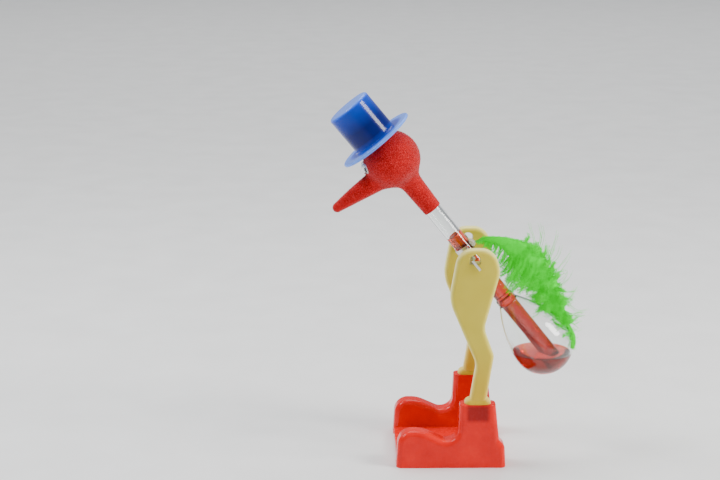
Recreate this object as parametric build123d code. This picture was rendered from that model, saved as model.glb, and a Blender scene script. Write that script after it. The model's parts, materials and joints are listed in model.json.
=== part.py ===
from build123d import *
import os
from math import cos, radians, sin, sqrt

# Drinking bird: a glass bird with a felt head, a hat and a feather, hung by a steel clip
# between two plastic legs that stand in a one-piece pair of boots.
# Millimetres, +Z up. The bird faces -X, and its left side is -Y. The origin is the middle
# of the whole object's bounding box, on the surface that it stands on.

# ---- driving dimensions ----
PIVOT_X = 6.17  # places the bounding box centrally over the origin
PIVOT_Z = 93.6  # height of the swing axis
REST_TILT = 38.8  # the bird's forward lean at its balance point, in degrees
LEG_SPACING = 42.0  # between the middles of the two legs
LEG_THICKNESS = 6.0
LEG_EDGE_R = 1.9
ANKLE_X = 2.3  # the shin's foot stands behind the swing axis
CUFF_WIDTH = 11.8
CUFF_HEIGHT = 2.6
CUFF_DEPTH = 6.9
CUFF_CORNER_R = 3.0
CUFF_TOP_R = 2.3

TUBE_OFFSET = -1.55  # the tube's axis stands forward of the swing axis
TUBE_R = 3.8
BORE_R = 2.75
TUBE_LOW = -63.5  # open end of the dip tube, in the lower bulb
RING_U = -29.0  # where the lower bulb is sealed round the tube
COLLAR = 2.8  # the seal's thick collar, above that
COLLAR_WALL = 0.75  # the collar stands out from the tube by this
SEAL_STEP = 0.2  # the bulb's inside clears the tube by this at the seal
SEAL_DEPTH = 0.9  # the glass is this thick below the collar
BULB_R = 14.0
BULB_WALL = 0.7
BULB_DROP = 26.2  # from the seal to the middle of the bulb's round end
SHOULDER_DRAW = 3.2  # how far the bulb has narrowed part of the way up to the seal
SHOULDER_HEIGHT = 0.55  # that part, as a share of the drop
POOL_GAP = 0.3
POOL_DEPTH_BELOW_MIDDLE = 3.7  # the liquid's surface below the bulb's middle
COLUMN_TOP = 10.0

HEAD_U = 55.2
HEAD_GLASS_R = 11.9
HEAD_WALL = 0.7
FLOCK_R = 12.6
NECK_FLOCK_TOP_R = 4.9
NECK_FLOCK_END_R = 4.15
NECK_FLOCK_END_U = 26.0

BEAK_TIP_R = 2.15
BEAK_REACH = 34.8  # from the tube's axis to the beak's tip
BEAK_TIP_DROP = 2.0  # below the head's middle
BEAK_RISE = 4.7  # degrees, towards the hat, from root to tip
BEAK_TAPER = 6.4  # degrees, half the cone's angle
BEAK_LENGTH = 30.0  # along its axis, from inside the head to the tip's round end
BEAK_FLOCK = 0.5

HAT_LEAN = 1.0  # degrees, further forward than the bird's own axis
BRIM_R = 18.05
BRIM_THICK = 1.3
BRIM_HEIGHT = 10.4  # the brim's underside above the head's middle
CROWN_R = 10.2
CROWN_HEIGHT = 19.7
CROWN_WALL = 1.297
CROWN_ROOF = 0.2  # the crown's roof is this much thicker than its wall
HAT_BORE_R = 8.2
HAT_GLUE_THICK = 1.7

EYE_R = 2.4
EYE_BACK = 0.5
EYE_DOME = 1.8
EYE_SEAT = 0.25  # how deep the backing sits in the felt
EYE_WALL = 0.35  # the dome's wall round the pupil's room
EYE_CORNER_R = 0.9
EYE_LIFT = 20.0  # degrees above the beak, seen from the side
EYE_SPREAD = 16.0  # degrees either side of the beak, seen from above
PUPIL_R = 1.15
PUPIL_THICK = 0.4
PUPIL_OFFSET = 0.65
PUPIL_ROOM = 0.35  # free depth over the disc
PUPIL_LIFT = 0.12  # the disc lies this far off the backing

CLIP_SHEET = 0.4
CLIP_TOP = 4.2
CLIP_BOTTOM = -3.5
LUG_HEIGHT = 2.0
HOOK_DROP = 3.5
HOOK_GAP = 0.4
HOLE_WIDTH = 4.9
HOLE_HEIGHT = 4.3
LUG_CLEARANCE = 0.06
ARM_GAP = 2.5  # the arms narrow to lugs this far from each leg

BOOT_DEPTH_LOW = 11.4
BOOT_DEPTH_TOP = 7.4
BOOT_TOP_Z = 28.9
BOOT_EDGE_R = 2.5
BOOT_RIM_R = 0.5  # the shaft's top edge is nearly sharp
BASE_WALL = 1.6
WEB_TOP = 4.0
WEB_FRONT = -33.6
WEB_BACK = 13.0
PEG_WIDTH = 9.4
PEG_DEPTH = 4.6
PEG_LENGTH = 8.0
SOCKET_GAP = 0.05

FEATHER_THICK = 3.2
QUILL_R = 0.45
FEATHER_CLEARANCE = 0.35
GLUE_X = 2.2
GLUE_U = 2.7
GLUE_R = 1.9

EPS = 0.01
NEAR_Y = -LEG_SPACING / 2
FAR_Y = LEG_SPACING / 2
GLASS_TIP = 15.0  # the sealed tip's height above the head's middle
GLASS_TIP_LOW_R = 2.4
GLASS_TIP_END_R = 0.8

os.makedirs("parts", exist_ok=True)


def write(node, shape):
    """Writes one node as parts/NODE.step."""
    solids = shape.solids()
    export_step(Compound(solids) if len(solids) > 1 else solids[0], f"parts/{node}.step")


def in_bird(shape):
    """Moves a shape from the bird's own upright frame, with its origin on the swing axis, to its rest pose."""
    return Location((PIVOT_X, 0, PIVOT_Z)) * Rotation(0, -REST_TILT, 0) * shape


def on_tube(shape):
    """Moves a shape made about Z to the tube's axis."""
    return Location((TUBE_OFFSET, 0, 0)) * shape


def spun(*edges):
    """One solid of revolution about Z, from a closed outline in the XZ plane."""
    return revolve(make_face(Wire(list(edges))), Axis.Z)


def at(radius, height):
    return Vector(radius, 0, height)


# ---- glass ----
def neck_tube():
    """The straight tube from inside the lower bulb up to the head."""
    top = HEAD_U - sqrt(HEAD_GLASS_R**2 - TUBE_R**2)
    length = top - TUBE_LOW
    outside = Pos(0, 0, TUBE_LOW + length / 2) * Cylinder(TUBE_R, length)
    bore = Pos(0, 0, TUBE_LOW + length / 2) * Cylinder(BORE_R, length + 1)
    return outside - bore


def pear(neck_radius, neck_height, radius, top, close):
    """The bulb's outline: a round end, a long shoulder up to the neck, and the edges that close it."""
    middle = RING_U - BULB_DROP
    low = at(0, middle - radius)
    side = at(radius, middle)
    shoulder = Spline(
        side,
        at(radius - SHOULDER_DRAW, middle + SHOULDER_HEIGHT * BULB_DROP),
        at(neck_radius, neck_height),
        tangents=[(0, 0, 1), (-0.75, 0, 1)],
    )
    half = radius * sqrt(0.5)
    round_end = ThreePointArc(low, at(half, middle - half), side)
    return [round_end, shoulder, *close, Line(at(0, top), low)]


def lower_bulb():
    """The pear-shaped bulb, sealed round the tube in a thick collar."""
    collar_r = TUBE_R + COLLAR_WALL
    top_r = TUBE_R + SEAL_STEP
    collar_top = RING_U + COLLAR
    outer_close = [
        Line(at(collar_r, RING_U), at(collar_r, collar_top - 0.8)),
        ThreePointArc(
            at(collar_r, collar_top - 0.8), at(collar_r - 0.15, collar_top - 0.3), at(top_r, collar_top)
        ),
        Line(at(top_r, collar_top), at(0, collar_top)),
    ]
    outer = spun(*pear(collar_r, RING_U, BULB_R, collar_top, outer_close))
    room_r = TUBE_R + SEAL_STEP
    room_top = RING_U - SEAL_DEPTH
    inner_close = [Line(at(room_r, room_top), at(0, room_top))]
    inner = spun(*pear(room_r, room_top, BULB_R - BULB_WALL, room_top, inner_close))
    tube = Pos(0, 0, RING_U) * Cylinder(TUBE_R, 60)
    return outer - inner - tube


def head_bulb():
    """The round head bulb, open to the tube below and sealed at a drawn tip above."""
    mouth = HEAD_U - sqrt(HEAD_GLASS_R**2 - TUBE_R**2)
    tip = Pos(0, 0, HEAD_U + GLASS_TIP / 2) * Cone(GLASS_TIP_LOW_R, GLASS_TIP_END_R, GLASS_TIP)
    shell = Pos(0, 0, HEAD_U) * Sphere(HEAD_GLASS_R) + tip
    shell -= Pos(0, 0, HEAD_U) * Sphere(HEAD_GLASS_R - HEAD_WALL)
    shell -= Pos(0, 0, mouth - 5) * Cylinder(TUBE_R, 10)
    return shell - Pos(0, 0, mouth) * Cylinder(BORE_R, 10)


# ---- liquid ----
def liquid_column():
    """The liquid drawn up inside the tube, with a hollow meniscus at its top."""
    length = COLUMN_TOP - TUBE_LOW
    column = Pos(0, 0, TUBE_LOW + length / 2) * Cylinder(BORE_R, length)
    return column - Pos(0, 0, COLUMN_TOP + 2.6) * Sphere(3.6)


def liquid_pool():
    """The liquid lying level in the bulb, grooved where the dip tube swings through it."""
    ball = Sphere(BULB_R - BULB_WALL - POOL_GAP)
    above = Pos(0, 0, 20 - POOL_DEPTH_BELOW_MIDDLE) * Box(40, 40, 40)
    reach = RING_U - BULB_DROP - TUBE_LOW
    groove_r = sqrt(reach**2 + TUBE_R**2) + POOL_GAP
    groove = Rotation(90, 0, 0) * Cylinder(groove_r, 2 * (TUBE_R + POOL_GAP))
    return ball - above - groove


# ---- head covering, beak and hat ----
def beak_cone(skin):
    """A tapering beak with a round tip, from inside the head forwards, a skin's thickness in."""
    rise, taper = radians(BEAK_RISE), radians(BEAK_TAPER)
    along = Vector(-cos(rise), 0, sin(rise))
    tip = Vector(BEAK_TIP_R - BEAK_REACH, 0, HEAD_U - BEAK_TIP_DROP)
    tip_r = BEAK_TIP_R - skin
    # The cone meets the round tip where the two are tangent.
    seam = tip + along * (tip_r * sin(taper))
    seam_r = tip_r * cos(taper)
    root_r = seam_r + BEAK_LENGTH * sin(taper) / cos(taper)
    cone = Plane(origin=seam - along * BEAK_LENGTH, z_dir=along) * Cone(
        root_r, seam_r, BEAK_LENGTH, align=(Align.CENTER, Align.CENTER, Align.MIN)
    )
    return cone + Pos(*tip) * Sphere(tip_r)


def beak_core():
    """The moulded beak, cupped at its root to sit on the glass head."""
    return beak_cone(BEAK_FLOCK) - Pos(0, 0, HEAD_U) * Sphere(HEAD_GLASS_R)


def flock_cover(inside, eyes):
    """The felt skin over the head, the beak and the top of the neck."""
    skin = Pos(0, 0, HEAD_U) * Sphere(FLOCK_R)
    neck_length = HEAD_U - NECK_FLOCK_END_U
    drop = sqrt(FLOCK_R**2 - NECK_FLOCK_TOP_R**2)
    slope = (NECK_FLOCK_TOP_R - NECK_FLOCK_END_R) / (neck_length - drop)
    skin += Pos(0, 0, NECK_FLOCK_END_U) * Cone(
        NECK_FLOCK_END_R,
        NECK_FLOCK_END_R + slope * neck_length,
        neck_length,
        align=(Align.CENTER, Align.CENTER, Align.MIN),
    )
    skin += beak_cone(0)
    skin -= Pos(0, 0, HEAD_U) * Sphere(HEAD_GLASS_R)
    skin -= Pos(0, 0, HEAD_U - 20) * Cylinder(TUBE_R, 40)
    for solid in [*inside, *eyes]:
        skin -= solid
    return skin


def hat_frame():
    """The hat's own frame: over the head's middle, leaning a little further forward."""
    return Location((0, 0, HEAD_U)) * Rotation(0, -HAT_LEAN, 0)


def top_hat():
    """The moulded top hat: a flat brim with a round edge, and a hollow crown."""
    low = BRIM_HEIGHT
    high = low + BRIM_THICK
    top = low + CROWN_HEIGHT + BRIM_THICK / 2
    corner = 1.2
    bend = corner * (1 - sqrt(0.5))
    edge = BRIM_THICK / 2
    inside = CROWN_R - CROWN_WALL
    roof = top - CROWN_WALL - CROWN_ROOF
    foot = 0.8
    foot_bend = foot * (1 - sqrt(0.5))
    outline = [
        Line(at(HAT_BORE_R, low), at(BRIM_R - edge, low)),
        ThreePointArc(at(BRIM_R - edge, low), at(BRIM_R, low + edge), at(BRIM_R - edge, high)),
        Line(at(BRIM_R - edge, high), at(CROWN_R + foot, high)),
        ThreePointArc(
            at(CROWN_R + foot, high), at(CROWN_R + foot_bend, high + foot_bend), at(CROWN_R, high + foot)
        ),
        Line(at(CROWN_R, high + foot), at(CROWN_R, top - corner)),
        ThreePointArc(
            at(CROWN_R, top - corner), at(CROWN_R - bend, top - bend), at(CROWN_R - corner, top)
        ),
        Line(at(CROWN_R - corner, top), at(0, top)),
        Line(at(0, top), at(0, roof)),
        Line(at(0, roof), at(inside, roof)),
        Line(at(inside, roof), at(inside, high)),
        Line(at(inside, high), at(HAT_BORE_R, high)),
        Line(at(HAT_BORE_R, high), at(HAT_BORE_R, low)),
    ]
    return hat_frame() * spun(*outline)


def hat_glue(head):
    """The glue between the head's crown and the inside of the hat's brim."""
    ring = Pos(0, 0, BRIM_HEIGHT + HAT_GLUE_THICK / 2) * Cylinder(HAT_BORE_R, HAT_GLUE_THICK)
    return hat_frame() * ring - Pos(0, 0, HEAD_U) * Sphere(FLOCK_R) - head


# ---- eyes ----
def eye_place(side):
    """An eye's frame on the felt: Z points out of the head, and -X is downhill at rest."""
    lift, spread = radians(EYE_LIFT), radians(EYE_SPREAD * side)
    out = Vector(-cos(lift) * cos(spread), cos(lift) * sin(spread), sin(lift))
    tilt = radians(REST_TILT)
    world_up = Vector(sin(tilt), 0, cos(tilt))
    uphill = world_up - out * world_up.dot(out)
    middle = Vector(0, 0, HEAD_U) + out * (FLOCK_R - EYE_SEAT)
    return Plane(origin=middle, x_dir=uphill, z_dir=out)


def eye_cup():
    """The white backing disc."""
    return Pos(0, 0, EYE_BACK / 2) * Cylinder(EYE_R, EYE_BACK)


def eye_lens():
    """The clear dome over the pupil: a low cap with a flat rim."""
    dome = Pos(0, 0, EYE_BACK) * Cylinder(
        EYE_R, EYE_DOME, align=(Align.CENTER, Align.CENTER, Align.MIN)
    )
    rim = dome.faces().sort_by(Axis.Z)[-1].edges()
    dome = fillet(rim, EYE_CORNER_R)
    room = Pos(0, 0, EYE_BACK) * Cylinder(
        EYE_R - EYE_WALL, PUPIL_THICK + PUPIL_ROOM, align=(Align.CENTER, Align.CENTER, Align.MIN)
    )
    return dome - room


def eye_pupil():
    """The loose black disc, resting at the lowest point of its room."""
    height = EYE_BACK + PUPIL_LIFT + PUPIL_THICK / 2
    return Pos(-PUPIL_OFFSET, 0, height) * Cylinder(PUPIL_R, PUPIL_THICK)


# ---- clip ----
def pivot_clip():
    """The bent steel strip: a band round the tube, two arms and two hooked ends."""
    half = CLIP_SHEET / 2
    band_in = TUBE_R
    band_out = TUBE_R + CLIP_SHEET
    height = CLIP_TOP - CLIP_BOTTOM
    middle = (CLIP_TOP + CLIP_BOTTOM) / 2
    band = Pos(TUBE_OFFSET, 0, middle) * (Cylinder(band_out, height) - Cylinder(band_in, height + 1))
    band -= Pos(10 - half, 0, middle) * Box(20, 30, height + 1)
    leg_out = LEG_SPACING / 2 + LEG_THICKNESS / 2
    leg_in = LEG_SPACING / 2 - LEG_THICKNESS / 2
    arm_start = sqrt(band_in**2 - (half - TUBE_OFFSET) ** 2)
    arm_end = leg_out + HOOK_GAP + CLIP_SHEET
    shoulder = leg_in - ARM_GAP
    clip = band
    for side in (-1, 1):
        wide = Pos(0, side * (arm_start + shoulder) / 2, CLIP_TOP / 2) * Box(
            CLIP_SHEET, shoulder - arm_start, CLIP_TOP
        )
        lug = Pos(0, side * (arm_start + arm_end) / 2, LUG_HEIGHT / 2) * Box(
            CLIP_SHEET, arm_end - arm_start, LUG_HEIGHT
        )
        knife = Pos(0, side * (arm_start + arm_end) / 2, 0) * (
            Rotation(90, 0, 0) * Cylinder(half, arm_end - arm_start)
        )
        hook = Pos(0, side * (arm_end - half), (LUG_HEIGHT - HOOK_DROP) / 2) * Box(
            CLIP_SHEET * 2.5, CLIP_SHEET, LUG_HEIGHT + HOOK_DROP
        )
        clip = clip + wide + lug + knife + hook
    clip -= Pos(TUBE_OFFSET, 0, middle) * Cylinder(band_in, height + 10)
    return clip


# ---- feather ----
def feather_outline():
    """The plume's side outline in the rest pose, from the swing axis: an arched, drooping leaf."""
    root_low, root_high, tip = Vector(1.2, 0, 3.2), Vector(1.2, 0, 4.8), Vector(48.6, 0, -42)
    over = [Vector(7, 0, 6.8), Vector(23.3, 0, 4.9), Vector(35.5, 0, -2), Vector(45.4, 0, -21)]
    beneath = [Vector(36, 0, -26.5), Vector(24, 0, -19), Vector(13, 0, -10)]
    top = Spline(root_high, *over, Vector(49.2, 0, -32), tip, tangents=[(1, 0, 0.6), (-0.3, 0, -1)])
    under = Spline(tip, *beneath, root_low, tangents=[(-0.3, 0, 1), (-0.8, 0, 0.6)])
    return make_face(Wire([top, under, Line(root_low, root_high)]))


def quill_path():
    """The quill, from the glue on the clip to the tail of the plume."""
    bends = [Vector(16, 0, 2.2), Vector(32, 0, -6), Vector(42.5, 0, -21)]
    return Spline(Vector(0.9, 0, 4.0), *bends, Vector(47.6, 0, -34), tangents=[(1, 0, 0.05), (0.2, 0, -1)])


def feather_glue():
    """The blob of glue that holds the quill's foot to the back of the clip, in the bird's own frame."""
    return Pos(GLUE_X, 0, GLUE_U) * Sphere(GLUE_R)


def bulb_room():
    """The bulb and the tube with a clearance round them, where the plume must not reach."""
    neck = TUBE_R + COLLAR_WALL + FEATHER_CLEARANCE
    lid = [Line(at(neck, RING_U), at(0, RING_U))]
    ball = spun(*pear(neck, RING_U, BULB_R + FEATHER_CLEARANCE, RING_U, lid))
    return ball + Cylinder(neck, -2 * RING_U)


def world_offset(shape):
    """Moves a shape drawn in the rest pose, from the swing axis, to its place."""
    return Pos(PIVOT_X, 0, PIVOT_Z) * shape


# ---- legs ----
def prism(face, depth):
    """A slab of the given depth in Y, centred on Y = 0, from a face in the XZ plane."""
    return extrude(Pos(0, -depth / 2, 0) * face, depth, dir=(0, 1, 0))


def rounded_outline(corners, radii):
    """A closed face in the XZ plane: each corner gets its radius, and the foot is a straight line."""
    points = [Vector(x, 0, z) for x, z in corners]
    path = FilletPolyline(*points, radius=radii)
    return make_face(Wire([*path.edges(), Line(points[-1], points[0])]))


def side_edges(shape, low, half_depth):
    """The edges that run along a slab's two side faces, above a height."""

    def runs_along_side(edge):
        middle = edge.center()
        across = abs((edge @ 0).Y - (edge @ 1).Y)
        return middle.Z > low and abs(middle.Y) > half_depth and across < 2 * half_depth

    return shape.edges().filter_by(runs_along_side)


def leg_outline():
    """Side outline of a leg: full thigh, slim knee bent back, and a straight shin."""
    corners = [
        (-1.4, BOOT_TOP_Z + 1),
        (1.3, 47.4),
        (-11.1, 76.5),
        (-7.1, 99.8),
        (8.5, 99.8),
        (11.4, 89.6),
        (4.6, 63.8),
        (9.2, 51.2),
        (6.0, BOOT_TOP_Z + 1),
    ]
    shin_r, thigh_front_r, crown_r, hip_r, hollow_r, knee_r = 9, 18, 8, 10, 9, 5
    return rounded_outline(corners, [shin_r, thigh_front_r, crown_r, crown_r, hip_r, hollow_r, knee_r])


def leg(y):
    """One moulded leg, with its pivot hole, its ankle cuff and the peg that goes into the boot."""
    plate = prism(leg_outline(), LEG_THICKNESS)
    plate = fillet(side_edges(plate, 32, 0.4 * LEG_THICKNESS), LEG_EDGE_R)
    cuff = Pos(ANKLE_X, 0, BOOT_TOP_Z + CUFF_HEIGHT / 2) * Box(CUFF_WIDTH, CUFF_DEPTH, CUFF_HEIGHT)
    cuff = fillet(cuff.edges().filter_by(Axis.Z), CUFF_CORNER_R)
    cuff = fillet(cuff.faces().sort_by(Axis.Z)[-1].edges(), CUFF_TOP_R)
    peg = Pos(ANKLE_X, 0, BOOT_TOP_Z - PEG_LENGTH / 2) * Box(PEG_WIDTH, PEG_DEPTH, PEG_LENGTH)
    body = plate + cuff + peg - hole_cutter()
    return Location((PIVOT_X, y, 0)) * body


def hole_cutter():
    """The D-shaped pivot hole: a flat floor that the clip's lug rocks on, and an arched top."""
    floor = PIVOT_Z - CLIP_SHEET / 2 - LUG_CLEARANCE
    half = HOLE_WIDTH / 2
    top = floor + HOLE_HEIGHT
    corners = [(-half, floor), (-half, top), (half, top), (half, floor)]
    return prism(rounded_outline(corners, half - EPS), 2 * LEG_THICKNESS)


# ---- boots ----
def boot_outline():
    """Side outline of a boot: round toe, dipped instep, a stepped heel, and a shaft that is cut flat later."""
    over = 2 * BOOT_EDGE_R
    corners = [
        (-34.0, 0),
        (-33.1, 16.4),
        (-22.6, 16.4),
        (-6.6, 9.0),
        (-5.4, BOOT_TOP_Z + over),
        (9.8, BOOT_TOP_Z + over),
        (12.1, 12.2),
        (14.6, 9.4),
        (15.1, 0),
    ]
    toe_r, toe_back_r, instep_r, top_r, heel_in_r, heel_r = 6.5, 14, 5.5, 2.6, 3, 3.5
    return rounded_outline(corners, [toe_r, toe_back_r, instep_r, top_r, top_r, heel_in_r, heel_r])


def boot_hollow_outline():
    """The hollow under a boot: the toe and the lower shaft, a wall's thickness in."""
    corners = [
        (-32.0, -1),
        (-31.2, 14.2),
        (-23.4, 14.2),
        (-4.6, 6.0),
        (-3.9, 19.0),
        (9.2, 19.0),
        (10.3, 11.2),
        (13.0, 8.4),
        (13.2, -1),
    ]
    toe_r, toe_back_r, instep_r, top_r, heel_in_r, heel_r = 5, 7, 6, 1, 1, 1
    return rounded_outline(corners, [toe_r, toe_back_r, instep_r, top_r, top_r, heel_in_r, heel_r])


def boot(y):
    """One boot, drawn in towards its top, with rounded edges."""
    low, top = BOOT_DEPTH_LOW / 2, BOOT_DEPTH_TOP / 2
    rise = 1.5 * BOOT_TOP_Z
    upper = low + (top - low) * rise / BOOT_TOP_Z
    sides = [Vector(0, -low, 0), Vector(0, low, 0), Vector(0, upper, rise), Vector(0, -upper, rise)]
    reach = 60
    draft = extrude(Pos(-reach, 0, 0) * make_face(Polyline(*sides, close=True)), 2 * reach, dir=(1, 0, 0))
    block = prism(boot_outline(), 2 * BOOT_DEPTH_LOW) & draft
    block = fillet(side_edges(block, 0.5, 3), BOOT_EDGE_R)
    block -= Pos(0, 0, BOOT_TOP_Z + reach / 2) * Box(2 * reach, reach, reach)
    block = fillet(block.faces().sort_by(Axis.Z)[-1].edges(), BOOT_RIM_R)
    return Location((PIVOT_X, y, 0)) * block


def shoe_base():
    """Both boots and the low web between them, in one hollow moulding with two ankle sockets."""
    web_length = WEB_BACK - WEB_FRONT
    web_x = PIVOT_X + (WEB_FRONT + WEB_BACK) / 2
    base = Pos(web_x, 0, WEB_TOP / 2) * Box(web_length, LEG_SPACING, WEB_TOP)
    for y in (NEAR_Y, FAR_Y):
        base += boot(y)
    for y in (NEAR_Y, FAR_Y):
        base -= Location((PIVOT_X, y, 0)) * prism(boot_hollow_outline(), BOOT_DEPTH_TOP - 2 * BASE_WALL)
        base -= Pos(PIVOT_X + ANKLE_X, y, BOOT_TOP_Z - PEG_LENGTH / 2) * Box(
            PEG_WIDTH + 2 * SOCKET_GAP, PEG_DEPTH + 2 * SOCKET_GAP, PEG_LENGTH + SOCKET_GAP
        )
    web_gap = LEG_SPACING - BOOT_DEPTH_LOW - 2 * BASE_WALL
    under = Box(web_length - 2 * BASE_WALL, web_gap, WEB_TOP)
    return base - Pos(web_x, 0, WEB_TOP / 2 - BASE_WALL) * under


def build():
    head = head_bulb()
    core = beak_core()
    eyes = [(name, eye_place(side)) for name, side in (("left", -1), ("right", 1))]
    cups = [place * eye_cup() for _, place in eyes]
    flock = flock_cover([head, core], cups)

    write("shoe_base", shoe_base())
    write("left_leg", leg(NEAR_Y))
    write("right_leg", leg(FAR_Y))

    on_axis = {
        "neck_tube": neck_tube(),
        "lower_bulb": lower_bulb(),
        "head_bulb": head,
        "liquid_column": liquid_column(),
        "beak_core": core,
        "flock_cover": flock,
        "top_hat": top_hat(),
        "hat_glue": hat_glue(head),
    }
    for (name, place), cup in zip(eyes, cups):
        on_axis[f"{name}_eye_cup"] = cup
        on_axis[f"{name}_eye_lens"] = place * eye_lens()
        on_axis[f"{name}_pupil"] = place * eye_pupil()
    for node, shape in on_axis.items():
        write(node, in_bird(on_tube(shape)))

    write("pivot_clip", in_bird(pivot_clip()))
    bulb_middle = in_bird(on_tube(Pos(0, 0, RING_U - BULB_DROP) * Sphere(1))).center()
    write("liquid_pool", Pos(*bulb_middle) * liquid_pool())

    path = quill_path()
    quill = world_offset(sweep(Plane(origin=path @ 0, z_dir=path % 0) * Circle(QUILL_R), path=path))
    blob = in_bird(feather_glue())
    vane = world_offset(prism(feather_outline(), FEATHER_THICK)) - in_bird(on_tube(bulb_room())) - quill - blob
    write("feather_quill", quill)
    write("feather_vane", vane)
    write("feather_glue", blob - in_bird(on_tube(Cylinder(TUBE_R, 20))) - in_bird(pivot_clip()) - quill)


build()
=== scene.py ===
import json
import random
from math import cos, pi, radians, sin, tan

import bmesh
import bpy
import numpy as np
from mathutils import Matrix, Vector, noise
from mathutils.bvhtree import BVHTree


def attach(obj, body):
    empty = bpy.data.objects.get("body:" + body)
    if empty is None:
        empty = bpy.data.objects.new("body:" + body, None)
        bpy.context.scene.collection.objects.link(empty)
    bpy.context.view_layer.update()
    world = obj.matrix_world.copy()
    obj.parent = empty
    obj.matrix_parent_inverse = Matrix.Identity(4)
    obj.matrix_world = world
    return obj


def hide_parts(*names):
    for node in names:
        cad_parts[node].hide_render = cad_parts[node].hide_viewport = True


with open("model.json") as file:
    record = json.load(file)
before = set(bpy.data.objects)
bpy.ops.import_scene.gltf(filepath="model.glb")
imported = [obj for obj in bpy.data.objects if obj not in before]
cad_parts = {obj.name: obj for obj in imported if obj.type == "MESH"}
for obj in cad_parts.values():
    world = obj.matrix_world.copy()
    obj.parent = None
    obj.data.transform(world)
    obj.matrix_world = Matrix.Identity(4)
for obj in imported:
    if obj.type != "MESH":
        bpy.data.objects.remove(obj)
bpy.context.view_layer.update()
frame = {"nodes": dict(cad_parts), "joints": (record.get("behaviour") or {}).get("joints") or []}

# ---- places and sizes: metres in the shared frame, millimetres in the bird's own frames ----
MM = 0.001
JOINTS = {joint["name"]: joint for joint in frame["joints"]}
PIVOT = Vector(JOINTS["swing"]["pos_m"])
BULB_MIDDLE = Vector(JOINTS["liquid_level"]["pos_m"])
REST_TILT = radians(38.8)
TUBE_OFFSET = -1.55
TUBE_R = 3.8
BORE_R = 2.75
DIP_END = -63.5
TUBE_TOP = 44.0
SEAL = -29.0
SEAL_TOP = -26.2
COLLAR_R = 4.55
BULB_R = 14.0
BULB_WALL = 0.7
BULB_HEIGHT = -55.2
COLUMN_TOP = 10.0
HEAD_HEIGHT = 55.2
FELT_R = 12.6
FELT_END = 26.0
LEVEL_DROP = 3.7
CREASE = 33  # degrees: glass and liquid keep their edges sharp beyond this
WHITE = (1.0, 1.0, 1.0)

# Upright bird, millimetres, origin on the swing axis; and the same with Z along the tube's own axis.
BIRD = Matrix.Translation(PIVOT) @ Matrix.Rotation(-REST_TILT, 4, "Y") @ Matrix.Scale(MM, 4)
TUBE = BIRD @ Matrix.Translation((TUBE_OFFSET, 0, 0))
# Rest pose, millimetres, origin on the swing axis: the feather is drawn in it.
RESTING = Matrix.Translation(PIVOT) @ Matrix.Scale(MM, 4)


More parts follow.
